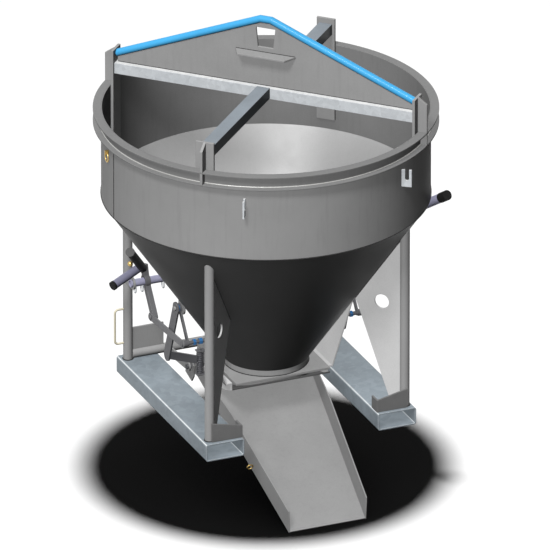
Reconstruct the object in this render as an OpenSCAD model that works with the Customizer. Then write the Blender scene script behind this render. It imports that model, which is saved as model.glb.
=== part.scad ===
/* [Drum and cone] */
// Outer radius of the rim
rim_r = 750; // [745:1:760]
// Top of the rim above the skid soles
rim_top = 1395; // [1390:1:1420]
// Height of the rim channel
rim_h = 64; // [50:1:80]
// Outer radius of the drum
drum_r = 715; // [712:1:718]
// Height where the drum meets the cone
drum_z = 990; // [980:1:1000]
// Outer radius of the cone at its foot
cone_r = 187; // [186:1:190]
// Height of the cone foot
cone_z = 218; // [216:1:224]
// Wall thickness of drum and cone
wall = 5; // [4:0.5:6]

/* [Frame] */
// Half length of a skid
skid_l = 500; // [490:1:520]
// Middle of a skid off the centre
skid_x = 405; // [400:1:410]
// Width of a skid
skid_w = 180; // [176:1:190]
// Height of a skid
skid_h = 80; // [76:1:80]
// Leg position across
leg_x = 460; // [455:1:462]
// Leg position along
leg_y = 455; // [452:1:458]
// Outer diameter of the leg tube
leg_d = 42.4; // [42:0.1:43]
// Thickness of gussets and brackets
plate_t = 8; // [6:1:10]

/* [Lifting gear] */
// Width of the cross beams
beam_w = 60; // [50:1:70]
// Underside of the main beam
beam_z = 1446; // [1440:1:1450]
// Height of the main beam
beam_h = 49; // [45:1:50]
// Diameter of the lifting tube
lift_d = 33.7; // [32:0.1:36]
// Height of the lifting tube apex
lift_z = 1805; // [1790:1:1820]
// Height of the lifting tube ends
lift_foot_z = 1533; // [1530:1:1540]

/* [Gate and linkage] */
// Gate pivot along
gate_y = 19; // [17:1:20]
// Gate pivot height
gate_z = 498; // [497:1:500]
// Inner radius of the gate pan
pan_r = 388; // [387:1:390]
// Operating shaft along
shaft_y = 372; // [370:1:374]
// Operating shaft height
shaft_z = 478; // [476:1:480]
// Diameter of the operating shaft
shaft_d = 35; // [34:0.5:36]
// Crank offset along
crank_y = -92; // [-93:1:-91]
// Crank offset in height
crank_z = -130; // [-131:1:-129]
// Diameter of the pins in the linkage
pin_d = 18; // [16:0.5:20]

/* [Chute] */
// Chute hinge along
hinge_y = 205; // [203:1:206]
// Chute hinge height
hinge_z = 116; // [115:1:117]
// Slope of the chute at rest
chute_a = 25.92; // [25:0.01:27]
// Length of the chute below the hinge
chute_l = 984; // [970:1:990]
// Half width of the chute at its tip
tip_w = 177; // [175:1:180]
// Half width of the chute at the hinge
root_w = 257; // [256:1:258]
// Height of the chute side lips
lip_h = 88; // [80:1:92]
// Thickness of the chute sheet
sheet = 5; // [4:0.5:5]

/* [Hidden] */

$fn = 96;
fit = 0.05;
seat = 0.3;
slope = (drum_r - cone_r) / (drum_z - cone_z);
skin = wall / cos(atan(slope));
rim_z = rim_top - rim_h;
flange = 6;
rim_in = rim_top - flange;

// Outlet
spigot_r = 185;
collar_x = 221;
collar_front = -190;
collar_top = 190;
collar_t = 10;
spigot_cut = pan_r - 3;

// Posts
strap_w = 84;
strap_t = 12;
strap_out = 708.5;
strap_in = strap_out - strap_t;
strap_z = 1040;
fin_t = 12;
fin_drop = 29;
post_tall = 1556;
post_short = 1521;

// Lifting triangle, drawn in the plane of the main beam
web_t = 10;
bend_x = 25;
weld = 0.02;
foot_x = 695;
lift_a = atan((lift_z - lift_foot_z) / (foot_x - bend_x));
lift_r = lift_d / 2;
web_foot = 690;
web_top = lift_z - lift_r;
web_bend = bend_x - lift_r * tan(lift_a / 2);
web_low = web_top - tan(lift_a) * (web_foot - web_bend);
beam_top = beam_z + beam_h;
hook_top = 1766;
hook_low = 1674;
hook_top_x = 45;
hook_low_x = 36;
shelf_z = 1644;
shelf_t = 8;
beam_b_z = 1448;
beam_b_h = 50;
tube_t = 4;

// Legs and feet
leg_r = leg_d / 2;
leg_t = 3.2;
gusset_r = norm([leg_x, leg_y]) - leg_r;
gusset_top = cone_z + (gusset_r - cone_r) / slope;
gusset_mid_z = 556;
gusset_mid_r = cone_r + slope * (gusset_mid_z - cone_z);
gusset_foot_r = 585;
eye_r = 541;
eye_z = 558;
eye_d = 66;
foot_in = 317;
foot_low = 57;
foot_high = 88;
wing_l = 52;
tie_z = skid_h + leg_r;

// Gate
pan_t = 6;
pan_x = 223.5;
skirt_t = 5;
gate_front = -150;
gate_back = 150;
ledge_z = 172;
side_x = 246;
side_lean = 17.8;
side_t = 6;
link_x = 397;
link_t = 6;
arm_x = 412;
arm_t = 8;
arm_w = 54;
boss_r = 22;
stud_d = 20;
stud_x = 426;
lug_x = 384;
bar_h = 36;
bar_y = 120;
bar_z = 233;
bar_in_x = 250;
bar_in_z = 176;
link_y = gate_y + crank_y;
link_z = gate_z + crank_z;
pin_y = shaft_y + crank_y;
pin_z = shaft_z + crank_z;
coupler_x = 421;
coupler_t = 7;
coupler_w = 32;
crank_t = 23;
crank_w = 32;
pin_in_x = 300;
link_nut = [[334, 14], [364, 12]];
link_nut_d = 30;
shaft_in_x = 250;
shaft_t = 4;
hanger_x = 304;
hanger_h = 260;
bracket_in_x = 293;
bracket_h = 104;
pin_out_x = 432;
pin_head_x = 428.6;
pin_head_d = 26;
collar_d = 30;

// Spring
spring_x = 312;
spring_y = 0;
spring_z0 = 176;
spring_z1 = 284;
spring_r = 15;
wire_d = 5;
spring_pitch = 9;
spring_turns = 11;
spring_rings = 8;
echo(spring_least_gap = spring_pitch - wire_d);

// Lever
lever_root = [-437, 380, 543];
lever_dir = [-0.915, -0.322, -0.244];
lever_l = 163;
lever_d = 38;
lever_cap_l = 12;
grip_root = [-407, 400, 521];
grip_dir = [-0.463, -0.65, 0.603];
grip_l = 336;
grip_d = 38;
knob_at = 193;
knob_out = [-26, 3, -17];
knob_d = 24;

// Right guide handle
handle_z = 889;
handle_turn = -20.13;
handle_sink = 3.7;
handle_r = cone_r + slope * (handle_z - cone_z) - handle_sink;
handle_root = [handle_r * cos(handle_turn), handle_r * sin(handle_turn), handle_z];
handle_dir = [0.2616, -0.796, 0.546];
handle_l = 260;
handle_d = 42;

// Chute
ear_x = 266;
arm2_x = 275;
rod_d = 24;

function unit(v) = v / norm(v);

// Places children with their Z axis along a direction
module aim(dir) {
    d = unit(dir);
    rotate([0, acos(d[2]), atan2(d[1], d[0])]) children();
}

// Solid round bar along X
module bar_x(x0, x1, d) {
    translate([min(x0, x1), 0, 0]) rotate([0, 90, 0]) cylinder(h = abs(x1 - x0), d = d);
}

// Outline drawn in Y and Z, raised along X
module yz(x0, t) {
    translate([x0, 0, 0]) rotate([90, 0, 90]) linear_extrude(t) children();
}

// Both left and right
module both() {
    children();
    mirror([1, 0, 0]) children();
}

module cone_solid(less = 0) {
    rotate_extrude() polygon([[0, cone_z - 60], [cone_r - less - slope * 60, cone_z - 60],
        [drum_r - less, drum_z], [0, drum_z]]);
}

// Space that the drum takes, with room for a weld
module drum_solid() {
    translate([0, 0, drum_z]) cylinder(h = rim_top - drum_z, r = drum_r + seat);
}

// Bar with round ends between two points of a drawing
module link2d(a, b, w) {
    d = b - a;
    translate(a) rotate(atan2(d[1], d[0])) translate([0, -w / 2]) square([norm(d), w]);
    translate(a) circle(d = w);
    translate(b) circle(d = w);
}

module drum_shell() {
    color([0.45, 0.45, 0.45]) translate([0, 0, drum_z]) difference() {
        cylinder(h = rim_top - drum_z, r = drum_r);
        translate([0, 0, -1]) cylinder(h = rim_top - drum_z + 2, r = drum_r - wall);
    }
}

module rim_channel() {
    color([0.45, 0.45, 0.45]) rotate_extrude() {
        translate([drum_r, rim_in]) square([rim_r - drum_r, flange]);
        translate([drum_r, rim_z]) square([rim_r - drum_r, flange]);
        translate([drum_r, rim_z]) square([flange, rim_h]);
    }
}

module cone_shell() {
    color([0.43, 0.43, 0.43]) rotate_extrude() polygon([[cone_r, cone_z], [drum_r, drum_z],
        [drum_r - skin, drum_z], [cone_r - skin, cone_z]]);
}

module outlet_spigot() {
    color([0.40, 0.40, 0.40]) intersection() {
        translate([0, 0, cone_z - 100]) difference() {
            cylinder(h = 100, r = spigot_r);
            translate([0, 0, -1]) cylinder(h = 102, r = spigot_r - wall);
        }
        translate([0, gate_y, gate_z]) rotate([0, 90, 0])
            cylinder(h = 4 * spigot_r, r = spigot_cut, center = true);
    }
}

module collar_plate() {
    color([0.50, 0.50, 0.50]) difference() {
        translate([-collar_x, collar_front, collar_top - collar_t])
            cube([2 * collar_x, -2 * collar_front, collar_t]);
        translate([0, 0, collar_top - 2 * collar_t]) cylinder(h = 40, r = spigot_r);
    }
}

// Strap inside the drum with a fin that stands on the rim
module post(angle, top) {
    color([0.47, 0.47, 0.47]) rotate(angle) {
        translate([strap_in, -strap_w / 2, strap_z]) cube([strap_t, strap_w, top - strap_z]);
        rotate([90, 0, 0]) translate([0, 0, -fin_t / 2]) linear_extrude(fin_t) polygon([[strap_out, rim_top],
            [rim_r, rim_top], [rim_r, top - fin_drop], [strap_out, top]]);
        translate([drum_r + flange, -fin_t / 2, rim_z + flange])
            cube([rim_r - drum_r - flange, fin_t, rim_h - 2 * flange]);
    }
}

module post_front_left() {
    post(225, post_short);
}

module post_front_right() {
    post(315, post_tall);
}

module post_rear_left() {
    post(135, post_tall);
}

module post_rear_right() {
    post(45, post_short);
}

// Rectangular hollow beam along X from x0 to x1
module beam(x0, x1, z, h) {
    difference() {
        translate([x0, -beam_w / 2, z]) cube([x1 - x0, beam_w, h]);
        translate([x0 - 1, tube_t - beam_w / 2, z + tube_t])
            cube([x1 - x0 + 2, beam_w - 2 * tube_t, h - 2 * tube_t]);
    }
}

module beam_main() {
    color([0.75, 0.76, 0.77]) rotate(-45) beam(-strap_in, strap_in, beam_z, beam_h);
}

module beam_front() {
    color([0.52, 0.55, 0.58]) rotate(225) beam(beam_w / 2, strap_in, beam_b_z, beam_b_h);
}

module beam_rear() {
    color([0.52, 0.55, 0.58]) rotate(45) beam(beam_w / 2, strap_in, beam_b_z, beam_b_h);
}

module lifting_web() {
    color([0.50, 0.50, 0.50]) rotate(-45) rotate([90, 0, 0]) translate([0, 0, -web_t / 2])
        linear_extrude(web_t) difference() {
            polygon([[-web_foot, beam_top], [web_foot, beam_top], [web_foot, web_low], [web_bend, web_top],
                [-web_bend, web_top], [-web_foot, web_low]]);
            polygon([[-hook_low_x, hook_low], [hook_low_x, hook_low], [hook_top_x, hook_top],
                [-hook_top_x, hook_top]]);
        }
}

// Space on the outer side of a mitre of the lifting tube, or on its inner side
module mitre(outer) {
    far = 2 * rim_r;
    translate([bend_x, 0, lift_z]) rotate([0, lift_a / 2, 0])
        translate([outer ? weld : -far - weld, -lift_d, -far]) cube([far, 2 * lift_d, 2 * far]);
}

// One sloping side of the lifting tube
module lift_side() {
    intersection() {
        translate([foot_x, 0, lift_foot_z]) rotate([0, lift_a - 90, 0])
            cylinder(h = (foot_x - bend_x) / cos(lift_a) + 20, d = lift_d);
        mitre(true);
        translate([0, -50, 0]) cube([strap_in - seat, 100, 2 * lift_z]);
    }
}

module lifting_tube() {
    color([0.29, 0.68, 0.98]) rotate(-45) {
        both() lift_side();
        intersection() {
            translate([0, 0, lift_z]) rotate([0, 90, 0]) cylinder(h = 4 * bend_x, d = lift_d, center = true);
            mitre(false);
            mirror([1, 0, 0]) mitre(false);
        }
    }
}

module guide_shelf() {
    color([0.55, 0.55, 0.55]) rotate(-45) translate([0, 0, shelf_z]) linear_extrude(shelf_t)
        polygon([[-140, -web_t / 2], [140, -web_t / 2], [110, -62], [-110, -62]]);
}

module leg(sx, sy) {
    color([0.46, 0.46, 0.46]) difference() {
        translate([sx * leg_x, sy * leg_y, skid_h]) cylinder(h = gusset_top + 100 - skid_h, d = leg_d);
        translate([sx * leg_x, sy * leg_y, skid_h - 1]) cylinder(h = 1000, d = leg_d - 2 * leg_t);
        cone_solid();
    }
}

module leg_front_left() {
    leg(-1, -1);
}

module leg_front_right() {
    leg(1, -1);
}

module leg_rear_left() {
    leg(-1, 1);
}

module leg_rear_right() {
    leg(1, 1);
}

module gusset(angle) {
    color([0.62, 0.62, 0.62]) rotate(angle) rotate([90, 0, 0]) translate([0, 0, -plate_t / 2])
        linear_extrude(plate_t) difference() {
            polygon([[gusset_r, gusset_top], [gusset_mid_r, gusset_mid_z], [gusset_foot_r, skid_h],
                [gusset_r, skid_h]]);
            translate([eye_r, eye_z]) circle(d = eye_d);
        }
}

module gusset_left() {
    gusset(180 + atan2(leg_y, leg_x));
}

module gusset_right() {
    gusset(-atan2(leg_y, leg_x));
}

module foot_brackets() {
    front = -leg_y - leg_r;
    color([0.46, 0.46, 0.46]) both() {
        translate([0, front, 0]) rotate([90, 0, 0]) linear_extrude(plate_t) polygon([[foot_in, skid_h],
            [leg_x, skid_h], [leg_x, skid_h + foot_high], [foot_in, skid_h + foot_low]]);
        translate([foot_in, front, skid_h]) cube([plate_t, wing_l, foot_low]);
    }
}

module rear_brackets() {
    color([0.46, 0.46, 0.46]) both() translate([bracket_in_x, leg_y - plate_t / 2, tie_z + leg_r])
        cube([leg_x - leg_r - bracket_in_x, plate_t, bracket_h]);
}

module rear_tie() {
    color([0.46, 0.46, 0.46]) translate([0, leg_y, tie_z]) rotate([0, 90, 0]) difference() {
        cylinder(h = 2 * (leg_x - leg_r) + 8, d = leg_d, center = true);
        cylinder(h = 2 * leg_x, d = leg_d - 2 * leg_t, center = true);
        for (s = [-1, 1]) translate([0, 0, s * leg_x]) rotate([0, 90, 0])
            cylinder(h = 100, d = leg_d, center = true);
    }
}

module grab_rod() {
    rod = 10;
    bend = 15;
    reach = 40;
    low = 159;
    high = 322;
    root = leg_x + leg_r;
    color([0.93, 0.90, 0.78]) difference() {
        translate([-root, leg_y, 0]) rotate([0, 0, 180]) {
            for (z = [low, high]) translate([-leg_t, 0, z]) rotate([0, 90, 0])
                cylinder(h = reach - bend + leg_t, d = rod);
            translate([reach, 0, low + bend]) cylinder(h = high - low - 2 * bend, d = rod);
            translate([reach - bend, 0, low + bend]) rotate([90, 0, 0])
                rotate_extrude(angle = -90) translate([bend, 0]) circle(d = rod);
            translate([reach - bend, 0, high - bend]) rotate([90, 0, 0])
                rotate_extrude(angle = 90) translate([bend, 0]) circle(d = rod);
        }
        translate([-leg_x, leg_y, low - 2 * bend]) cylinder(h = 2 * (high - low), d = leg_d + 2 * seat);
    }
}

// Skid outline with rounded corners
module skid2d(less) {
    w = skid_w - 2 * less;
    h = skid_h - 2 * less;
    r = 10 - less;
    translate([-w / 2 + r, less]) square([w - 2 * r, h]);
    translate([-w / 2, less + r]) square([w, h - 2 * r]);
    for (x = [r - w / 2, w / 2 - r], y = [less + r, less + h - r]) translate([x, y]) circle(r = r);
}

module skid() {
    color([0.52, 0.56, 0.60]) translate([skid_x, skid_l, 0]) rotate([90, 0, 0])
        linear_extrude(2 * skid_l) difference() {
            skid2d(0);
            skid2d(6);
        }
}

module skid_right() {
    skid();
}

module skid_left() {
    mirror([1, 0, 0]) skid();
}

module hook_plates() {
    slot_at = 23;
    slot_w = 18;
    slot_low = 1240;
    low = 1201;
    high = 1281;
    sunk = 14;
    reach = 43;
    color([0.75, 0.76, 0.77]) difference() {
        for (a = [[239.5, 0], [302, 23]]) rotate(a[0]) translate([drum_r, 0, 0]) rotate(a[1])
            rotate([90, 0, 0]) translate([0, 0, -plate_t / 2]) linear_extrude(plate_t) difference() {
                translate([-sunk, low]) square([sunk + reach, high - low]);
                translate([slot_at - slot_w / 2, slot_low]) square([slot_w, high - low]);
                translate([slot_at, slot_low]) circle(d = slot_w);
            }
        drum_solid();
    }
}

module tag_ring() {
    ring_r = 21;
    rod = 6;
    cleat_z = 1276;
    ring_at = drum_r + 9;
    color([0.72, 0.58, 0.25]) rotate(175) {
        translate([ring_at, 0, cleat_z - ring_r]) rotate([0, 90, 0])
            rotate_extrude() translate([ring_r, 0]) circle(d = rod, $fn = 24);
        difference() {
            rotate([90, 0, 0]) translate([0, 0, -rod / 2]) linear_extrude(rod) difference() {
                translate([drum_r - wall, cleat_z - 10]) square([18 + wall, 22]);
                translate([ring_at, cleat_z]) circle(d = rod - 0.1);
            }
            drum_solid();
        }
    }
}

// Plate welded under the cone with the stud that the gate turns on
module gate_lug() {
    difference() {
        union() {
            yz(lug_x, 8) {
                translate([gate_y, gate_z]) circle(r = 32);
                translate([gate_y - 32, gate_z]) square([64, 70]);
            }
            translate([0, gate_y, gate_z]) bar_x(lug_x - 6, stud_x, stud_d);
        }
        cone_solid();
    }
}

module gate_lugs() {
    color([0.46, 0.46, 0.46]) both() gate_lug();
}

module gate_nuts() {
    color([0.16, 0.22, 0.42]) both() translate([0, gate_y, gate_z]) difference() {
        translate([link_x + link_t + 0.5, 0, 0]) rotate([0, 90, 0])
            cylinder(h = arm_x - link_x - link_t - 1, d = 34, $fn = 6);
        bar_x(link_x, stud_x, stud_d - 0.02);
    }
}

module shaft_hanger() {
    head_r = 28;
    color([0.46, 0.46, 0.46]) difference() {
        yz(-hanger_x, plate_t) {
            translate([shaft_y, shaft_z]) circle(r = head_r);
            translate([shaft_y - head_r, shaft_z]) square([2 * head_r, hanger_h]);
        }
        translate([0, shaft_y, shaft_z])
            bar_x(-hanger_x - plate_t, -hanger_x + 2 * plate_t, shaft_d + 2 * fit);
        cone_solid();
    }
}

module shaft_lug() {
    head_r = 28;
    color([0.46, 0.46, 0.46]) difference() {
        yz(-leg_x - 2 * plate_t, plate_t) {
            translate([shaft_y, shaft_z]) circle(r = head_r);
            translate([shaft_y, shaft_z - head_r]) square([leg_y - shaft_y, 2 * head_r]);
        }
        translate([0, shaft_y, shaft_z]) bar_x(-leg_x - 3 * plate_t, -leg_x, shaft_d + 2 * fit);
        translate([-leg_x, leg_y, shaft_z - 50]) cylinder(h = 100, d = leg_d);
    }
}

module handle_tube() {
    color([0.78, 0.78, 0.86]) difference() {
        translate(handle_root) aim(handle_dir) difference() {
            cylinder(h = handle_l - 50, d = handle_d);
            translate([0, 0, -1]) cylinder(h = handle_l, d = handle_d - 6);
        }
        cone_solid();
    }
}

module handle_cap() {
    color([0.07, 0.07, 0.07]) translate(handle_root + handle_dir * (handle_l - 50)) aim(handle_dir)
        cylinder(h = 50, d = handle_d + 3);
}

module hinge_arms() {
    color([0.46, 0.46, 0.46]) both() difference() {
        yz(arm2_x, plate_t) link2d([hinge_y, hinge_z], [leg_y, tie_z], 40);
        translate([0, hinge_y, hinge_z]) bar_x(arm2_x - plate_t, arm2_x + 2 * plate_t, rod_d - 0.02);
        translate([0, leg_y, tie_z]) bar_x(arm2_x - plate_t, arm2_x + 2 * plate_t, leg_d);
    }
}

module hinge_rod() {
    color([0.55, 0.57, 0.60]) translate([0, hinge_y, hinge_z])
        bar_x(-arm2_x - plate_t - 6, arm2_x + plate_t + 6, rod_d);
}

// Ring about the gate pivot, as a solid along X
module pan_ring(r0, r1, half) {
    translate([0, gate_y, gate_z]) rotate([0, 90, 0]) difference() {
        cylinder(h = 2 * half, r = r1, center = true, $fn = 180);
        cylinder(h = 2 * half + 2, r = r0, center = true, $fn = 180);
    }
}

module gate_pan() {
    y0 = -185;
    y1 = 200;
    color([0.36, 0.36, 0.36]) intersection() {
        pan_ring(pan_r, pan_r + pan_t, pan_x);
        translate([-pan_x, y0, 0]) cube([2 * pan_x, y1 - y0, 300]);
    }
}

// Skirt, ledge and leaning plate of one side of the gate
module gate_side() {
    yz(pan_x, skirt_t) intersection() {
        translate([gate_y, gate_z]) circle(r = pan_r + pan_t, $fn = 180);
        translate([gate_front, 80]) square([gate_back - gate_front, ledge_z - 80 + 6]);
    }
    translate([pan_x, gate_front, ledge_z]) cube([side_x + 4 - pan_x, gate_back - gate_front, 6]);
    translate([side_x, 0, ledge_z]) rotate([0, side_lean, 0]) yz(0, side_t) difference() {
        polygon([[gate_front, 0], [gate_back, 0], [gate_back, 40], [71, 135], [-100, 240], [-112, 284],
            [-144, 318], [gate_front, 318]]);
        translate([link_y, (link_z - ledge_z) / cos(side_lean)]) circle(d = pin_d - 0.02);
    }
}

module gate_side_right() {
    color([0.58, 0.58, 0.58]) gate_side();
}

module gate_side_left() {
    color([0.58, 0.58, 0.58]) mirror([1, 0, 0]) gate_side();
}

module gate_arms() {
    color([0.44, 0.44, 0.46]) both() difference() {
        yz(arm_x, arm_t) {
            link2d([gate_y, gate_z], [bar_y, bar_z], arm_w);
            translate([gate_y, gate_z]) circle(r = arm_w / 2 + 2);
            translate([bar_y, bar_z]) circle(r = arm_w / 2 + 0.5);
        }
        translate([0, gate_y, gate_z]) bar_x(arm_x - 5, arm_x + arm_t + 5, stud_d + 2 * fit);
    }
}

module gate_links() {
    color([0.44, 0.44, 0.46]) both() difference() {
        yz(link_x, link_t) {
            link2d([gate_y, gate_z], [link_y, link_z], 26);
            translate([gate_y, gate_z]) circle(r = boss_r);
        }
        translate([0, gate_y, gate_z]) bar_x(link_x - 5, link_x + link_t + 5, stud_d + 2 * fit);
        translate([0, link_y, link_z]) bar_x(link_x - 5, link_x + link_t + 5, pin_d - 0.02);
    }
}

module gate_bars() {
    run = [arm_x - bar_in_x, bar_z - bar_in_z];
    color([0.44, 0.44, 0.46]) both() difference() {
        translate([bar_in_x, bar_y - 5, bar_in_z]) rotate([0, -atan2(run[1], run[0]), 0])
            translate([-bar_h / 2, 0, -bar_h / 2]) cube([norm(run) + bar_h, 10, bar_h]);
        translate([arm_x - seat, 0, 0]) cube([2 * arm_w, bar_y + 20, gate_z]);
        translate([side_x, 0, ledge_z]) rotate([0, side_lean, 0])
            translate([side_t + seat - side_x, 0, -ledge_z]) cube([side_x, bar_y + 20, gate_z]);
    }
}

module link_pins() {
    color([0.30, 0.30, 0.33]) both() translate([0, link_y, link_z]) {
        bar_x(pin_in_x, pin_out_x, pin_d);
        bar_x(link_x + link_t + seat, coupler_x - seat, collar_d);
        bar_x(pin_head_x, pin_out_x, pin_head_d);
    }
}

module link_nuts() {
    color([0.18, 0.30, 0.62]) both() translate([0, link_y, link_z]) difference() {
        union() {
            for (n = link_nut) translate([n[0], 0, 0]) rotate([0, 90, 0])
                cylinder(h = n[1], d = link_nut_d, $fn = 6);
        }
        bar_x(pin_in_x, link_x, pin_d - 0.02);
    }
}

module spring_rod() {
    color([0.30, 0.30, 0.33]) mirror([1, 0, 0]) {
        translate([spring_x, spring_y, spring_z0 - 6]) cylinder(h = spring_z1 - spring_z0 + 18, d = 12);
        translate([side_x + 2, spring_y - 16, spring_z0 - 4]) cube([spring_x - side_x + 16, 32, 4]);
        translate([281, spring_y - 16, spring_z1]) cube([spring_x - 281 + 18, 32, 4]);
    }
}

// Coil wound about the guide rod as one tube
module gate_spring() {
    steps = spring_turns * spring_rings;
    sides = 6;
    base = [-spring_x, spring_y, spring_z0 + wire_d / 2 + 0.1];
    pts = [for (i = [0:steps], j = [0:sides - 1])
        let (a = 360 * i / spring_rings, b = 360 * j / sides, r = spring_r + wire_d / 2 * cos(b))
            base + [r * cos(a), r * sin(a), spring_pitch * i / spring_rings + wire_d / 2 * sin(b)]];
    walls = [for (i = [0:steps - 1], j = [0:sides - 1])
        [i * sides + j, (i + 1) * sides + j, (i + 1) * sides + (j + 1) % sides, i * sides + (j + 1) % sides]];
    ends = [[for (j = [0:sides - 1]) j], [for (j = [sides - 1:-1:0]) steps * sides + j]];
    color([0.35, 0.36, 0.38]) polyhedron(points = pts, faces = concat(walls, ends));
}

module operating_shaft() {
    color([0.78, 0.78, 0.86]) translate([0, shaft_y, shaft_z]) difference() {
        bar_x(-leg_x - 3 * plate_t, -shaft_in_x, shaft_d);
        bar_x(-leg_x - 4 * plate_t, -shaft_in_x + plate_t, shaft_d - 2 * shaft_t);
    }
}

module crank_bar() {
    color([0.55, 0.54, 0.60]) {
        difference() {
            yz(-link_x - crank_t, crank_t) {
                link2d([shaft_y, shaft_z], [pin_y, pin_z], crank_w);
                translate([shaft_y, shaft_z]) circle(r = 30);
                translate([shaft_y, shaft_z]) rotate(-16) translate([-crank_w / 2, 0])
                    square([crank_w, 76]);
            }
            translate([0, shaft_y, shaft_z]) bar_x(-link_x - 2 * crank_t, -link_x + crank_t, shaft_d - 0.02);
        }
        translate([0, pin_y, pin_z]) {
            bar_x(-pin_out_x, -link_x, pin_d);
            bar_x(-pin_out_x, -pin_head_x, pin_head_d);
        }
    }
}

module shaft_clips() {
    color([0.70, 0.71, 0.74]) for (x = [-461, -428, -329]) translate([x, shaft_y, shaft_z]) {
        for (s = [-1, 1]) translate([0, s * 12, -34]) cylinder(h = 26, d = 6);
        translate([0, 0, -34]) rotate([0, 90, 0]) rotate([0, 0, -90])
            rotate_extrude(angle = 180) translate([12, 0]) circle(d = 6);
    }
}

module lever_tube() {
    color([0.50, 0.48, 0.56]) translate(lever_root) aim(lever_dir)
        cylinder(h = lever_l - lever_cap_l, d = lever_d);
}

module lever_cap() {
    color([0.07, 0.07, 0.07]) translate(lever_root + unit(lever_dir) * (lever_l - lever_cap_l))
        aim(lever_dir) cylinder(h = lever_cap_l, d = lever_d + 3);
}

module grip_bar() {
    color([0.07, 0.07, 0.07]) translate(grip_root) aim(grip_dir) cylinder(h = grip_l, d = grip_d);
}

module grip_disc() {
    color([0.50, 0.50, 0.50]) translate(grip_root + unit(grip_dir) * grip_l) aim(grip_dir)
        cylinder(h = 4, d = grip_d + 3);
}

module lever_knob() {
    stem_from = grip_d / 2 + seat;
    color([0.72, 0.58, 0.25]) translate(grip_root + unit(grip_dir) * knob_at) {
        translate(knob_out) sphere(d = knob_d);
        translate(unit(knob_out) * stem_from) aim(knob_out) cylinder(h = norm(knob_out) - stem_from, d = 8);
    }
}

module coupler_bar() {
    color([0.56, 0.56, 0.58]) difference() {
        yz(-coupler_x - coupler_t, coupler_t) {
            link2d([pin_y, pin_z], [link_y, link_z], coupler_w);
            for (c = [[pin_y, pin_z], [link_y, link_z]]) translate(c) circle(d = 38);
        }
        for (c = [[pin_y, pin_z], [link_y, link_z]]) translate([0, c[0], c[1]])
            bar_x(-coupler_x - 20, -coupler_x + 20, pin_d + 2 * fit);
    }
}

// Puts the chute, drawn flat with its hinge at the origin, on its slope
module chute_place() {
    translate([0, hinge_y, hinge_z]) rotate([chute_a, 0, 0]) children();
}

module chute_floor() {
    color([0.55, 0.55, 0.55]) chute_place() translate([0, 0, -sheet]) linear_extrude(sheet)
        polygon([[-tip_w, -chute_l], [tip_w, -chute_l], [root_w, -16], [-root_w, -16]]);
}

// Side lip that follows the tapered edge of the floor
module chute_lip() {
    turn = atan((root_w - tip_w) / (chute_l - 16));
    run = norm([root_w - tip_w, chute_l - 16]);
    taper = 357;
    translate([tip_w, -chute_l, 0]) rotate(-turn) yz(0, sheet) polygon([[0, -sheet], [run, -sheet],
        [run, 40], [run - taper, lip_h], [lip_h * tan(chute_a), lip_h]]);
}

module chute_lips() {
    color([0.55, 0.55, 0.55]) chute_place() both() chute_lip();
}

module chute_ears() {
    color([0.50, 0.50, 0.50]) both() difference() {
        yz(ear_x - 4, 6) {
            translate([hinge_y, hinge_z]) circle(r = 26);
            polygon([[163, 134], [256, 98], [269, 65], [199, 46], [176, 76]]);
        }
        translate([0, hinge_y, hinge_z]) bar_x(200, 300, rod_d + 2 * fit);
    }
}

module chute_eye() {
    eye = 26;
    rod = 6;
    along = 615;
    side = tip_w + (root_w - tip_w) * (chute_l - along) / (chute_l - 16) + sheet;
    color([0.72, 0.58, 0.25]) chute_place() translate([-side - eye / 2 - rod / 2 + 0.3, -along, 21])
        rotate([90, 0, 0]) rotate_extrude() translate([eye / 2, 0]) circle(d = rod, $fn = 24);
}

drum_shell();
rim_channel();
cone_shell();
outlet_spigot();
collar_plate();
post_front_left();
post_front_right();
post_rear_left();
post_rear_right();
beam_main();
beam_front();
beam_rear();
lifting_web();
lifting_tube();
guide_shelf();
leg_front_left();
leg_front_right();
leg_rear_left();
leg_rear_right();
gusset_left();
gusset_right();
foot_brackets();
rear_brackets();
rear_tie();
grab_rod();
skid_left();
skid_right();
hook_plates();
tag_ring();
gate_lugs();
gate_nuts();
shaft_hanger();
shaft_lug();
handle_tube();
handle_cap();
hinge_arms();
hinge_rod();
gate_pan();
gate_side_left();
gate_side_right();
gate_arms();
gate_links();
gate_bars();
link_pins();
link_nuts();
spring_rod();
gate_spring();
operating_shaft();
crank_bar();
shaft_clips();
lever_tube();
lever_cap();
grip_bar();
grip_disc();
lever_knob();
coupler_bar();
chute_floor();
chute_lips();
chute_ears();
chute_eye();
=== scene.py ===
import bpy
import math
import random
from mathutils import Matrix, Vector


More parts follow.
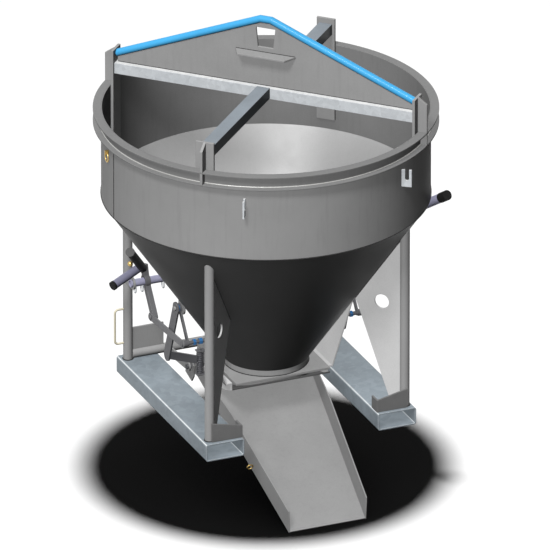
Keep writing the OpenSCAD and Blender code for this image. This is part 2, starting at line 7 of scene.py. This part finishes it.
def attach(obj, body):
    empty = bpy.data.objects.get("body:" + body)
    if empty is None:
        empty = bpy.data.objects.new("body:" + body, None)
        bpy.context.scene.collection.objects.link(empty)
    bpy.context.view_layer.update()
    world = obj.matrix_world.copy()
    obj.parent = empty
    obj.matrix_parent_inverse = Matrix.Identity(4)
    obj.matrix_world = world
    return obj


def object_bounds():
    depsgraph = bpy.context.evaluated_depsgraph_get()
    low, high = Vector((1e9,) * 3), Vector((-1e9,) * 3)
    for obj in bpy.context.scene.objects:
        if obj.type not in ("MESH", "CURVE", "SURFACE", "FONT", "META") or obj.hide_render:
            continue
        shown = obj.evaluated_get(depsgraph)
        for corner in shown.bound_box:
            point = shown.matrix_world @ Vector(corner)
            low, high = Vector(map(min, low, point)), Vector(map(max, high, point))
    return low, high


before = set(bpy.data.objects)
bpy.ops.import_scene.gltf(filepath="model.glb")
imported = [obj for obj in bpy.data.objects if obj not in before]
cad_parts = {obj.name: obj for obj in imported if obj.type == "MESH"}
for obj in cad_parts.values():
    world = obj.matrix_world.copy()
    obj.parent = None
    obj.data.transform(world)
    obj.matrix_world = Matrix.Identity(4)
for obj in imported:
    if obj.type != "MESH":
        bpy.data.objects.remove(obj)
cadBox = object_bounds()
print("frame loaded, nodes:", len(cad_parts))

mm = 0.001
scene = bpy.context.scene

# camera: far away with a long lens, so that parallel edges stay nearly parallel
cameraSetup = {
    "azimuth": 336.86,
    "elevation": 24.78,
    "mmPerPixel": 4.3504,
    "imageSize": 550,
    "axisPixel": (266.05, 398.14),  # where the drum axis meets the skid soles
    "lens": 1600,
    "sensor": 36,
    "nearClip": 0.1,
    "farClip": 3,  # times the distance
}


def makeCamera(setup):
    az = math.radians(setup["azimuth"])
    el = math.radians(setup["elevation"])
    back = Vector((math.sin(az) * math.cos(el), -math.cos(az) * math.cos(el), math.sin(el)))
    right = Vector((math.cos(az), math.sin(az), 0))
    up = back.cross(right)
    half = setup["imageSize"] / 2
    step = setup["mmPerPixel"] * mm
    target = right * (half - setup["axisPixel"][0]) * step + up * (setup["axisPixel"][1] - half) * step
    distance = setup["imageSize"] * step * setup["lens"] / setup["sensor"]
    data = bpy.data.cameras.new("siteCamera")
    data.lens = setup["lens"]
    data.sensor_width = setup["sensor"]
    data.clip_start = setup["nearClip"]
    data.clip_end = distance * setup["farClip"]
    camera = bpy.data.objects.new("siteCamera", data)
    turn = Matrix((right, up, back)).transposed().to_4x4()
    camera.matrix_world = Matrix.Translation(target + back * distance) @ turn
    scene.collection.objects.link(camera)
    scene.camera = camera


makeCamera(cameraSetup)
print("camera placed")


# small helpers for building node materials
def addNode(tree, kind, x=0, y=0, **settings):
    node = tree.nodes.new(kind)
    node.location = (x, y)
    for key, value in settings.items():
        setattr(node, key, value)
    return node


def join(tree, source, target):
    tree.links.new(source, target)


def ramp(tree, source, stops, x=0, y=0):
    node = addNode(tree, "ShaderNodeValToRGB", x, y)
    elements = node.color_ramp.elements
    while len(elements) < len(stops):
        elements.new(0.5)
    for element, (position, colour) in zip(elements, stops):
        element.position = position
        element.color = (*colour, 1) if len(colour) == 3 else colour
    join(tree, source, node.inputs[0])
    return node.outputs[0]


def noise(tree, coords, scale, detail, x=0, y=0, stretch=None):
    if stretch:
        mapping = addNode(tree, "ShaderNodeMapping", x - 200, y)
        mapping.inputs["Scale"].default_value = stretch
        join(tree, coords, mapping.inputs[0])
        coords = mapping.outputs[0]
    node = addNode(tree, "ShaderNodeTexNoise", x, y)
    node.inputs["Scale"].default_value = scale
    node.inputs["Detail"].default_value = detail
    node.inputs["Roughness"].default_value = 0.6
    join(tree, coords, node.inputs["Vector"])
    return node.outputs[0]


def mixColour(tree, factor, first, second, x=0, y=0, blend="MIX"):
    node = addNode(tree, "ShaderNodeMix", x, y, data_type="RGBA", blend_type=blend)
    if hasattr(factor, "links"):
        join(tree, factor, node.inputs[0])
    else:
        node.inputs[0].default_value = factor
    for value, socket in ((first, node.inputs[6]), (second, node.inputs[7])):
        if hasattr(value, "links"):
            join(tree, value, socket)
        else:
            socket.default_value = (*value, 1)
    return node.outputs[2]


def maths(tree, operation, first, second, x=0, y=0):
    node = addNode(tree, "ShaderNodeMath", x, y, operation=operation)
    for value, socket in ((first, node.inputs[0]), (second, node.inputs[1])):
        if hasattr(value, "links"):
            join(tree, value, socket)
        else:
            socket.default_value = value
    return node.outputs[0]


def grey(value):
    return (value, value, value)


def shaded(colour, share):
    return tuple(min(1, c * share) for c in colour)


def geometryOutput(tree, name, x, y):
    return addNode(tree, "ShaderNodeNewGeometry", x, y).outputs[name]


# 1 on faces that are turned away from the drum axis, 0 on the others; it splits the lit and shaded tones of
# the painted shade
def outerMask(tree, coords):
    flat = addNode(tree, "ShaderNodeVectorMath", -700, 700, operation="MULTIPLY")
    flat.inputs[1].default_value = (1, 1, 0)
    join(tree, coords, flat.inputs[0])
    facing = addNode(tree, "ShaderNodeVectorMath", -500, 700, operation="DOT_PRODUCT")
    join(tree, flat.outputs[0], facing.inputs[0])
    join(tree, geometryOutput(tree, "True Normal", -700, 900), facing.inputs[1])
    return maths(tree, "GREATER_THAN", facing.outputs["Value"], 0.0, -300, 700)


# 1 on lying faces, 0 on standing ones
def lyingMask(tree):
    slant = addNode(tree, "ShaderNodeSeparateXYZ", -500, 1000)
    join(tree, geometryOutput(tree, "True Normal", -700, 1000), slant.inputs[0])
    return maths(tree, "ABSOLUTE", slant.outputs["Z"], 0, -300, 1000)


# crystal pattern of a zinc bath
def spangled(tree, coords, colour, scale):
    cells = addNode(tree, "ShaderNodeTexVoronoi", -700, -300)
    cells.inputs["Scale"].default_value = scale
    join(tree, coords, cells.inputs["Vector"])
    tone = ramp(tree, cells.outputs["Color"], [(0.2, grey(0.86)), (0.8, grey(1))], -400, -300)
    return mixColour(tree, 0.8, colour, tone, 0, 200, "MULTIPLY")


# faint streaks that run down the sides
def streaked(tree, coords, colour, streak, amount):
    streaks = noise(tree, coords, 9, 4, -700, -600, stretch=(6, 6, 0.5))
    mask = ramp(tree, streaks, [(0.52, grey(0)), (0.72, grey(amount))], -400, -600)
    return mixColour(tree, mask, colour, streak, 150, 200)


# rubbed bare along the edges
def worn(tree, coords, colour, bevel, bare, amount):
    dot = addNode(tree, "ShaderNodeVectorMath", -100, -700, operation="DOT_PRODUCT")
    join(tree, bevel.outputs[0], dot.inputs[0])
    join(tree, geometryOutput(tree, "Normal", -300, -700), dot.inputs[1])
    edge = maths(tree, "SUBTRACT", 1.0, dot.outputs["Value"], 100, -700)
    patchy = maths(tree, "MULTIPLY", edge, noise(tree, coords, 40, 4, -100, -900), 300, -700)
    mask = ramp(tree, patchy, [(0.02, grey(0)), (0.09, grey(amount))], 450, -700)
    return mixColour(tree, mask, colour, bare, 450, 200)


# what a finish has where its own entry says nothing else
plainLook = {
    "metal": 0.0,
    "specular": 0.08,
    "mottle": 0.12,  # share by which the clouds lighten and darken the colour
    "cloudScale": 3.5,
    "grainScale": 180,
    "speck": 0.06,
    "roughSpread": 0.08,
    "edge": 2.0,  # mm
    "wearColour": (0.45, 0.45, 0.44),
    "runShade": 0.55,
    "bump": 0.15,
    "bumpDepth": 0.6,  # mm
    "coatRough": 0.12,
}


# one finish: mottled colour, fine grain, rubbed edges and a bumped surface, with painted shade and painted
# highlights where its entry asks for them
def makeFinish(name, entry):
    look = {**plainLook, **entry}
    material = bpy.data.materials.new(name)
    material.use_nodes = True
    tree = material.node_tree
    tree.nodes.clear()
    output = addNode(tree, "ShaderNodeOutputMaterial", 1200, 0)
    shader = addNode(tree, "ShaderNodeBsdfPrincipled", 900, 0)
    join(tree, shader.outputs[0], output.inputs[0])
    shader.inputs["Metallic"].default_value = look["metal"]
    shader.inputs["Specular IOR Level"].default_value = look["specular"]
    if "coat" in look:
        shader.inputs["Coat Weight"].default_value = look["coat"]
        shader.inputs["Coat Roughness"].default_value = look["coatRough"]
    coords = addNode(tree, "ShaderNodeTexCoord", -1000, 0).outputs["Object"]
    clouds = noise(tree, coords, look["cloudScale"], 5, -700, 300)
    grain = noise(tree, coords, look["grainScale"], 3, -700, 0)
    base = look["colour"]
    low = 1 - look["mottle"]
    high = 1 + look["mottle"]
    colour = ramp(tree, clouds, [(0.35, shaded(base, low)), (0.65, shaded(base, high))], -400, 300)
    grainTone = ramp(tree, grain, [(0.3, grey(1 - look["speck"])), (0.7, grey(1))], -400, 0)
    colour = mixColour(tree, 1.0, colour, grainTone, -150, 200, "MULTIPLY")
    if "outsideShadingTone" in look:  # painted shade: the faces turned away from the drum axis get their own tone, so that inner and outer faces are lit and shaded copies of one paint
        outer = outerMask(tree, coords)
        stops = [(0.3, shaded(look["outsideShadingTone"], low)), (0.7, shaded(look["outsideShadingTone"], high))]
        colour = mixColour(tree, outer, colour, ramp(tree, clouds, stops, -400, 500), -50, 400)
        if "innerShine" in look:  # the inner face is smoother and keeps a soft highlight
            inner = maths(tree, "SUBTRACT", 1.0, outer, -100, 700)
            shine = maths(tree, "MULTIPLY", inner, look["innerShine"], 100, 700)
            shine = maths(tree, "MAXIMUM", shine, look["specular"], 300, 700)
            join(tree, shine, shader.inputs["Specular IOR Level"])
    if "sides" in look:  # painted shade: standing faces are darkened against the lying ones, as if less lit
        sideShade = ramp(tree, lyingMask(tree), [(0.3, look["sides"]), (0.9, grey(1))], -100, 800)
        colour = mixColour(tree, 1.0, colour, sideShade, 50, 600, "MULTIPLY")
    if "corner" in look:  # painted highlight: the rounded corners are made bright, as if light glinted along them
        stops = [(0.45, grey(0)), (0.6, grey(1)), (0.85, grey(1)), (0.95, grey(0))]
        cornerHighlight = ramp(tree, lyingMask(tree), stops, -100, 1000)
        colour = mixColour(tree, cornerHighlight, colour, look["corner"], 0, 500)
    if "spangle" in look:
        colour = spangled(tree, coords, colour, look["spangle"])
    if "runs" in look:
        colour = streaked(tree, coords, colour, shaded(base, look["runShade"]), look["runs"])
    bevel = addNode(tree, "ShaderNodeBevel", -100, -400)
    bevel.inputs["Radius"].default_value = look["edge"] * mm
    if "wear" in look:
        colour = worn(tree, coords, colour, bevel, look["wearColour"], look["wear"])
    join(tree, colour, shader.inputs["Base Color"])
    smooth = grey(look["rough"] - look["roughSpread"])
    coarse = grey(look["rough"] + look["roughSpread"])
    join(tree, ramp(tree, clouds, [(0.3, smooth), (0.7, coarse)], 200, -100), shader.inputs["Roughness"])
    bump = addNode(tree, "ShaderNodeBump", 600, -300)
    bump.inputs["Strength"].default_value = look["bump"]
    bump.inputs["Distance"].default_value = look["bumpDepth"] * mm
    join(tree, grain, bump.inputs["Height"])
    join(tree, bevel.outputs[0], bump.inputs["Normal"])
    join(tree, bump.outputs[0], shader.inputs["Normal"])
    return material


finishes = {
    "bodyGrey": {"colour": (0.39, 0.39, 0.39), "rough": 0.42, "metal": 0.03, "runs": 0.14, "wear": 0.5,
                 "mottle": 0.05},
    # drum: the inner face is darker than the outer one, painted shade inside the drum
    "drumGrey": {"colour": (0.26, 0.26, 0.26), "outsideShadingTone": (0.37, 0.37, 0.37), "rough": 0.6, "runs": 0.12,
                 "wear": 0.4, "mottle": 0.05, "specular": 0.03},
    # cone: the outer face is darker than the inner one, painted shade on the underside
    "coneGrey": {"colour": (0.37, 0.37, 0.37), "outsideShadingTone": (0.19, 0.19, 0.19), "rough": 0.5,
                 "specular": 0.05, "innerShine": 1.0, "runs": 0.10, "mottle": 0.05},
    # galvanised: sides paints shade on the standing faces
    "galvanised": {"colour": (0.95, 0.97, 0.98), "sides": (0.80, 0.83, 0.86), "rough": 0.45, "metal": 0.1,
                   "spangle": 55, "mottle": 0.05},
    # beam: sides paints shade on the standing faces
    "beamGrey": {"colour": (0.31, 0.35, 0.39), "sides": (0.20, 0.20, 0.20), "rough": 0.45, "metal": 0.02,
                 "wear": 0.6, "edge": 3.0},
    "liftBlue": {"colour": (0.075, 0.46, 0.86), "rough": 0.34, "coat": 0.15, "mottle": 0.04, "wear": 0.2},
    "plateGrey": {"colour": (0.74, 0.74, 0.74), "rough": 0.42, "metal": 0.01, "specular": 0.04,
                  "wear": 0.5, "mottle": 0.05},
    # skid: corner paints a highlight band on the rounded edges, and the pale wear colour is real rubbed zinc
    # that also stands in for a highlight along them
    "skidZinc": {"colour": (0.32, 0.37, 0.41), "rough": 0.42, "metal": 0.1, "spangle": 40, "wear": 0.9,
                 "wearColour": (0.85, 0.90, 0.93), "edge": 3.5, "corner": (0.80, 0.84, 0.86)},
    "creamPaint": {"colour": (0.86, 0.80, 0.62), "rough": 0.4, "mottle": 0.05},
    "brass": {"colour": (0.62, 0.44, 0.16), "rough": 0.34, "metal": 0.9, "mottle": 0.1},
    "boltBlue": {"colour": (0.03, 0.16, 0.40), "rough": 0.35, "coat": 0.2, "wear": 0.5},
    "barSteel": {"colour": (0.15, 0.15, 0.16), "rough": 0.42, "metal": 0.2, "wear": 0.6},
    "coilSteel": {"colour": (0.10, 0.10, 0.11), "rough": 0.40, "metal": 0.5},
    "panDark": {"colour": (0.13, 0.13, 0.13), "rough": 0.55, "metal": 0.3, "runs": 0.3},
    "paleZinc": {"colour": (0.50, 0.50, 0.68), "rough": 0.38, "metal": 0.2, "mottle": 0.06},
    "leverGrey": {"colour": (0.26, 0.26, 0.36), "rough": 0.42, "metal": 0.1, "wear": 0.4},
    "crankGrey": {"colour": (0.20, 0.20, 0.21), "rough": 0.42, "metal": 0.2, "wear": 0.5},
    "blackRubber": {"colour": (0.018, 0.018, 0.018), "rough": 0.62, "grainScale": 260, "bump": 0.3},
    "discGrey": {"colour": (0.11, 0.11, 0.11), "rough": 0.5, "mottle": 0.08},
    "weldGrey": {"colour": (0.05, 0.05, 0.05), "rough": 0.5, "metal": 0.2, "grainScale": 500},
    # weld on the rim: its pale colour is a painted highlight for the glints along the lower flange, on a
    # real bead
    "weldGlintPale": {"colour": (0.62, 0.62, 0.60), "rough": 0.35, "metal": 0.2, "specular": 0.5,
                 "grainScale": 500},
    # rim: the body paint darkened as painted shade over the whole channel
    "rimShadedGrey": {"colour": (0.27, 0.27, 0.27), "rough": 0.55, "specular": 0.03, "runs": 0.1, "wear": 0.4,
                "mottle": 0.05},
    "footGrey": {"colour": (0.20, 0.20, 0.20), "rough": 0.45, "metal": 0.03, "runs": 0.1, "wear": 0.4},
    "chuteSteel": {"colour": (0.35, 0.35, 0.35), "rough": 0.46, "metal": 0.1, "runs": 0.12, "wear": 0.5,
                   "mottle": 0.05},
}
materials = {name: makeFinish(name, look) for name, look in finishes.items()}
print("finishes made:", len(materials))

nodeFinish = {
    "drumGrey": ["drum_shell"],
    "coneGrey": ["cone_shell"],
    "bodyGrey": ["outlet_spigot", "collar_plate", "post_front_left", "post_front_right",
                 "post_rear_left", "post_rear_right", "leg_front_left", "leg_front_right",
                 "leg_rear_left", "leg_rear_right", "rear_brackets", "rear_tie", "gate_lugs",
                 "shaft_hanger", "shaft_lug", "hinge_arms", "lifting_web", "guide_shelf"],
    "galvanised": ["beam_main", "hook_plates", "shaft_clips"],
    "beamGrey": ["beam_front", "beam_rear"],
    "liftBlue": ["lifting_tube"],
    "footGrey": ["foot_brackets"],
    "rimShadedGrey": ["rim_channel"],
    "plateGrey": ["gusset_left", "gusset_right", "gate_side_left", "gate_side_right"],
    "skidZinc": ["skid_left", "skid_right"],
    "creamPaint": ["grab_rod"],
    "brass": ["tag_ring", "lever_knob", "chute_eye"],
    "boltBlue": ["gate_nuts", "link_nuts"],
    "barSteel": ["hinge_rod", "gate_arms", "gate_links", "gate_bars", "link_pins", "spring_rod"],
    "coilSteel": ["gate_spring"],
    "panDark": ["gate_pan"],
    "paleZinc": ["handle_tube", "operating_shaft"],
    "leverGrey": ["lever_tube"],
    "crankGrey": ["crank_bar", "coupler_bar"],
    "blackRubber": ["handle_cap", "lever_cap", "grip_bar"],
    "discGrey": ["grip_disc"],
    "chuteSteel": ["chute_floor", "chute_lips", "chute_ears"],
}


def paintNodes(table):
    for finish, names in table.items():
        for name in names:
            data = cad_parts[name].data
            data.materials.clear()
            data.materials.append(materials[finish])


paintNodes(nodeFinish)
print("nodes painted")


# weld beads: thin rippled tubes laid along the seams
weld = {
    "pitch": 7.0,  # mm from one ripple to the next
    "ripple": 0.22,
    "unevenness": 0.1,
    "wander": 0.25,  # mm to either side
    "proud": 1.0,  # mm that a bead stands out of its corner
    "sides": 6,
    "seed": 11,
}
beadRadius = {"drum": 2.6, "seam": 2.4, "rim": 2.4, "rimInside": 3.2, "collar": 2.6, "leg": 3.0,
              "gusset": 2.6, "gateSide": 2.0, "web": 2.2, "shelf": 2.2}
weldChance = random.Random(weld["seed"])
leaning = Vector((0.31, 0.17, 0.93))  # no seam runs this way


# points set half a ripple apart along the run
def spacePoints(points, closed):
    spaced = []
    for start, end in zip(points, points[1:] + points[:1] if closed else points[1:]):
        count = max(1, round((end - start).length / (weld["pitch"] * mm / 2)))
        spaced += [start.lerp(end, k / count) for k in range(count)]
    if not closed:
        spaced.append(points[-1])
    return spaced


def layWeld(name, points, radius, body, finish="weldGrey", closed=False):
    spaced = spacePoints([Vector(point) * mm for point in points], closed)
    total = len(spaced)
    sides = weld["sides"]
    verts = []
    faces = []
    for i, point in enumerate(spaced):
        before = spaced[i - 1] if i or closed else point
        after = spaced[(i + 1) % total] if i + 1 < total or closed else point
        along = (after - before).normalized()
        side = along.cross(leaning).normalized()
        rise = along.cross(side)
        grow = 1 + weld["ripple"] * (0.5 if i % 2 else -0.5)
        grow += weldChance.uniform(-weld["unevenness"], weld["unevenness"])
        shift = side * weldChance.uniform(-1, 1) * weld["wander"] * mm
        for j in range(sides):
            turn = 2 * math.pi * j / sides
            out = side * math.cos(turn) + rise * math.sin(turn)
            verts.append(point + shift + out * radius * mm * grow)
    for i in range(total if closed else total - 1):
        here = i * sides
        there = ((i + 1) % total) * sides
        for j in range(sides):
            k = (j + 1) % sides
            faces.append((here + j, here + k, there + k, there + j))
    if not closed:
        faces.append(tuple(range(sides)))
        faces.append(tuple(range((total - 1) * sides, total * sides)))
    mesh = bpy.data.meshes.new(name)
    mesh.from_pydata(verts, [], faces)
    mesh.shade_smooth()
    mesh.materials.append(materials[finish])
    bead = bpy.data.objects.new(name, mesh)
    scene.collection.objects.link(bead)
    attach(bead, body)


def circle(radius, z, count=180, centre=(0, 0)):
    turns = [2 * math.pi * k / count for k in range(count)]
    return [(centre[0] + radius * math.cos(a), centre[1] + radius * math.sin(a), z) for a in turns]


# point at an angle round the drum axis, with a step to the side
def spoke(angle, radius, z, offset=0.0):
    a = math.radians(angle)
    return (radius * math.cos(a) - offset * math.sin(a), radius * math.sin(a) + offset * math.cos(a), z)


# where the seams run, in mm and degrees
seams = {
    "drumRadius": 715,
    "drumFoot": 990,
    "drumSeamAngle": 180,
    "drumSeam": (993, 1329),
    "rimLow": 1331,
    "flange": 6,
    "spigotRadius": 185,
    "spigotPoints": 120,
    "collarTop": 190,
    "legPlace": (460, 455),
    "legRadius": 21.2,
    "legPoints": 40,
    "skidTop": 80,
    "gussetAngles": (224.69, 315.31),
    "gussetFace": 4.6,
    "gussetLine": ((625.8, 859.6), (418.2, 556)),
    "gateSideX": 252.5,
    "gateSideY": 148,
    "gateSideFoot": 172.5,
    "webAngle": -45,
    "webFace": 5.5,
    "webHalf": 688,
    "webFoot": 1495.5,
    "shelfHalf": 138,
    "shelfFoot": 1652.5,
}


def weldDrum():
    proud = weld["proud"]
    radius = seams["drumRadius"]
    joint = circle(radius + proud / 2, seams["drumFoot"])
    layWeld("weld_drum_cone", joint, beadRadius["drum"], "bucket", closed=True)
    upright = [spoke(seams["drumSeamAngle"], radius, z) for z in seams["drumSeam"]]
    layWeld("weld_drum_seam", upright, beadRadius["seam"], "bucket")
    under = circle(radius + proud, seams["rimLow"] - proud)
    layWeld("weld_rim_under", under, beadRadius["rim"], "bucket", closed=True)
    inside = circle(radius + seams["flange"] + proud, seams["rimLow"] + seams["flange"] + proud)
    layWeld("weld_rim_inside", inside, beadRadius["rimInside"], "bucket", "weldGlintPale", closed=True)
    neck = circle(seams["spigotRadius"] + proud, seams["collarTop"] + proud, seams["spigotPoints"])
    layWeld("weld_collar", neck, beadRadius["collar"], "bucket", closed=True)


def weldLegs():
    legX, legY = seams["legPlace"]
    for index, (sx, sy) in enumerate(((-1, -1), (1, -1), (-1, 1), (1, 1))):
        foot = circle(seams["legRadius"] + weld["proud"], seams["skidTop"] + 1.5 * weld["proud"],
                      seams["legPoints"], (sx * legX, sy * legY))
        layWeld("weld_leg_" + str(index), foot, beadRadius["leg"], "bucket", closed=True)


def weldGussets():
    face = seams["gussetFace"]
    for index, angle in enumerate(seams["gussetAngles"]):
        for number, offset in enumerate((-face, face)):
            run = [spoke(angle, radius, z, offset) for radius, z in seams["gussetLine"]]
            layWeld("weld_gusset_{}_{}".format(index, number), run, beadRadius["gusset"], "bucket")


def weldGateSides():
    for index, side in enumerate((-1, 1)):
        run = [(side * seams["gateSideX"], y, seams["gateSideFoot"])
               for y in (-seams["gateSideY"], seams["gateSideY"])]
        layWeld("weld_gate_side_" + str(index), run, beadRadius["gateSide"], "gate")


def weldWeb():
    angle = seams["webAngle"]
    face = seams["webFace"]
    for index, offset in enumerate((-face, face)):
        run = [spoke(angle, r, seams["webFoot"], offset) for r in (-seams["webHalf"], seams["webHalf"])]
        layWeld("weld_web_" + str(index), run, beadRadius["web"], "bucket")
    run = [spoke(angle, r, seams["shelfFoot"], -face) for r in (-seams["shelfHalf"], seams["shelfHalf"])]
    layWeld("weld_shelf", run, beadRadius["shelf"], "bucket")


weldDrum()
weldLegs()
weldGussets()
weldGateSides()
weldWeb()
print("welds laid")


# floor, light and backdrop
studio = {
    "floorDrop": 2,  # mm below the lowest piece
    "floorHalf": 30,
    "floorColour": (0.95, 0.95, 0.95),
    "key": {"direction": (-0.45, -0.45, 0.77), "strength": 1.0, "softness": 14},
    "fill": {"direction": (-0.45, -0.45, 0.77), "strength": 2.9, "softness": 20, "castsShadow": False},
    "back": {"direction": (0.3, 0.95, 0.02), "strength": 2.2, "softness": 20, "castsShadow": False,
             "glossy": False},
    "top": {"place": (0.05, 0.1, 24), "size": 2.3, "brightness": 3.75},
    "sky": 0.012,
    "skyFoot": 0.25,  # share of the sky light that comes from below
    "diffuseBounces": 0,
}


def makeFloor(setup):
    mesh = bpy.data.meshes.new("floor")
    half = setup["floorHalf"]
    z = cadBox[0][2] - setup["floorDrop"] * mm
    corners = [(-half, -half, z), (half, -half, z), (half, half, z), (-half, half, z)]
    mesh.from_pydata(corners, [], [(0, 1, 2, 3)])
    floor = bpy.data.objects.new("floor", mesh)
    scene.collection.objects.link(floor)
    material = bpy.data.materials.new("floorPale")
    material.use_nodes = True
    tree = material.node_tree
    tree.nodes.clear()
    output = addNode(tree, "ShaderNodeOutputMaterial", 300, 0)
    pale = addNode(tree, "ShaderNodeBsdfDiffuse", 0, 0)
    pale.inputs["Color"].default_value = (*setup["floorColour"], 1)
    join(tree, pale.outputs[0], output.inputs[0])
    mesh.materials.append(material)
    return floor


# a light shines on the given pieces alone
def lightOnly(light, receivers):
    group = bpy.data.collections.new(light.name + "Lit")
    for receiver in receivers:
        group.objects.link(receiver)
    light.light_linking.receiver_collection = group


def makeSun(name, setup, receivers):
    data = bpy.data.lights.new(name, "SUN")
    data.energy = setup["strength"]
    data.angle = math.radians(setup["softness"])
    data.use_shadow = setup.get("castsShadow", True)
    sun = bpy.data.objects.new(name, data)
    sun.visible_glossy = setup.get("glossy", True)
    sun.rotation_euler = Vector(setup["direction"]).to_track_quat("Z", "Y").to_euler()
    scene.collection.objects.link(sun)
    lightOnly(sun, receivers)


# round lamp high over the middle: it lights the floor and drops a soft shadow on it
def makeTopLamp(setup, receiver):
    data = bpy.data.lights.new("topLamp", "AREA")
    data.shape = "DISK"
    data.size = setup["size"]
    data.energy = setup["brightness"] * math.pi * setup["place"][2] ** 2
    lamp = bpy.data.objects.new("topLamp", data)
    lamp.location = setup["place"]
    scene.collection.objects.link(lamp)
    lightOnly(lamp, [receiver])


# a little soft sky light, and plain white where the camera or a gloss looks past the object
def makeWorld(setup):
    world = bpy.data.worlds.new("studioWorld")
    scene.world = world
    world.use_nodes = True
    tree = world.node_tree
    tree.nodes.clear()
    output = addNode(tree, "ShaderNodeOutputWorld", 600, 0)
    coords = addNode(tree, "ShaderNodeTexCoord", -900, 200).outputs["Generated"]
    height = addNode(tree, "ShaderNodeSeparateXYZ", -700, 200)
    join(tree, coords, height.inputs[0])
    sky = ramp(tree, height.outputs["Z"], [(0.0, grey(setup["skyFoot"])), (0.5, grey(1))], -400, 200)
    light = addNode(tree, "ShaderNodeBackground", 0, 100)
    light.inputs["Strength"].default_value = setup["sky"]
    join(tree, sky, light.inputs["Color"])
    white = addNode(tree, "ShaderNodeBackground", 0, -100)
    white.inputs["Color"].default_value = (1, 1, 1, 1)
    path = addNode(tree, "ShaderNodeLightPath", -600, -100)
    direct = maths(tree, "MAXIMUM", path.outputs["Is Camera Ray"], path.outputs["Is Glossy Ray"], -400, -100)
    seen = maths(tree, "MAXIMUM", direct, path.outputs["Is Transmission Ray"], -200, -100)
    mix = addNode(tree, "ShaderNodeMixShader", 300, 0)
    join(tree, seen, mix.inputs[0])
    join(tree, light.outputs[0], mix.inputs[1])
    join(tree, white.outputs[0], mix.inputs[2])
    join(tree, mix.outputs[0], output.inputs[0])


floor = makeFloor(studio)
pieces = [piece for piece in scene.objects if piece.type == "MESH" and piece != floor]
makeSun("keySun", studio["key"], pieces)
makeSun("fillSun", studio["fill"], pieces)
makeSun("backSun", studio["back"], pieces)
makeTopLamp(studio["top"], floor)
makeWorld(studio)
scene.cycles.diffuse_bounces = studio["diffuseBounces"]
scene.view_settings.view_transform = "Standard"
print("studio lit")
